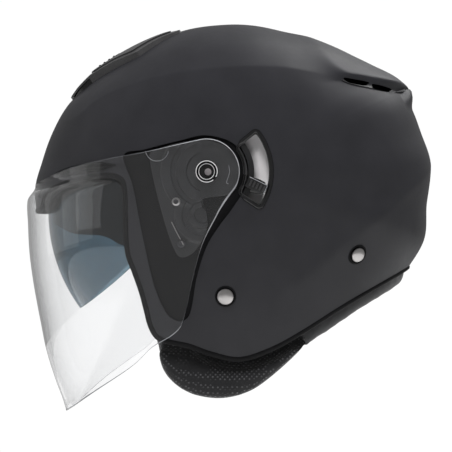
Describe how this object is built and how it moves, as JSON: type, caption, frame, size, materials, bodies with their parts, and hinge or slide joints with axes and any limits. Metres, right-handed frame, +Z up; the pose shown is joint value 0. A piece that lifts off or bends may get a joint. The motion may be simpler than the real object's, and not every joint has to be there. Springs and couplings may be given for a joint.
{
  "type": "open face motorcycle helmet",
  "caption": "Open face motorcycle helmet with a hard shell, foam and fabric liners, a long hinged clear visor, a drop-down sun visor and a buckled chin strap.",
  "frame": {"origin": "the head reference point: the middle of the line between the two clear visor pivots, inside the head space, at the mount named head", "axes": "+Z up, -Y the way the wearer looks, +X the wearer's left"},
  "size_m": [0.2604, 0.2885, 0.2781],
  "materials": {
    "shell": "satin",
    "foam": "matte",
    "fabric": "matte",
    "rubber": "matte",
    "plastic": "gloss",
    "clear": "gloss",
    "tint": "gloss",
    "steel": "satin",
    "webbing": "matte"
  },
  "bodies": {
    "helmet": {"outer_shell": "shell", "shell_edge_trim": "rubber", "impact_foam_liner": "foam", "crown_liner": "fabric", "neck_roll": "fabric", "brow_seal": "rubber", "top_vent_housing": "plastic", "lever_slot_bezel": "plastic", "lever_slot_panel": "plastic", "cheek_foam_left": "foam", "cheek_foam_right": "foam", "cheek_pad_left": "fabric", "cheek_pad_right": "fabric", "rear_vent_grille_left": "plastic", "rear_vent_grille_right": "plastic", "visor_base_plate_left": "plastic", "visor_base_plate_right": "plastic", "base_plate_screw_1_left": "steel", "base_plate_screw_1_right": "steel", "base_plate_screw_2_left": "steel", "base_plate_screw_2_right": "steel", "visor_pivot_cap_left": "steel", "visor_pivot_cap_right": "steel", "sun_visor_pin_left": "steel", "sun_visor_pin_right": "steel", "strap_rivet_front_left": "steel", "strap_rivet_front_right": "steel", "strap_rivet_rear_left": "steel", "strap_rivet_rear_right": "steel", "rivet_washer_front_left": "rubber", "rivet_washer_front_right": "rubber", "rivet_washer_rear_left": "rubber", "rivet_washer_rear_right": "rubber", "strap_anchor_left": "webbing", "strap_anchor_right": "webbing", "strap_rear_band_left": "webbing", "strap_rear_band_right": "webbing"},
    "visor": {"clear_visor": "clear"},
    "sun_visor": {"sun_visor_lens": "tint"},
    "sun_visor_lever": {"sun_visor_lever": "plastic"},
    "vent_slider": {"top_vent_slider": "plastic"},
    "chin_strap": {"chin_strap_left": "webbing", "chin_strap_right": "webbing", "chin_pad": "fabric", "buckle_body": "plastic", "ratchet_tongue": "plastic"},
    "buckle_release": {"buckle_lever": "steel"}
  },
  "joints": [
    {"name": "visor_hinge", "type": "hinge", "parent": "helmet", "child": "visor", "pos_m": [0, 0, 0], "axis": [-1, 0, 0], "range_deg": [0, 60]},
    {"name": "sun_visor_hinge", "type": "hinge", "parent": "helmet", "child": "sun_visor", "pos_m": [0, 0, -0.026], "axis": [-1, 0, 0], "range_deg": [0, 38]},
    {"name": "sun_visor_lever_hinge", "type": "hinge", "parent": "helmet", "child": "sun_visor_lever", "pos_m": [0, 0, 0], "axis": [1, 0, 0], "range_deg": [0, 44.8]},
    {"name": "vent_slide", "type": "slide", "parent": "helmet", "child": "vent_slider", "axis": [0, 0.8338, 0.5521], "range_m": [0, 0.008]},
    {"name": "chin_strap_swing", "type": "hinge", "parent": "helmet", "child": "chin_strap", "pos_m": [0, 0.006, -0.112], "axis": [1, 0, 0], "range_deg": [-25, 25]},
    {"name": "buckle_release_hinge", "type": "hinge", "parent": "chin_strap", "child": "buckle_release", "pos_m": [0.0244, 0.006, -0.1444], "axis": [0, 1, 0], "range_deg": [0, 35], "stiffness_Nm_per_rad": 0.05}
  ],
  "couplings": [
    {"joint": "sun_visor_lever_hinge", "follows": "sun_visor_hinge", "ratio": 1.1765}
  ]
}
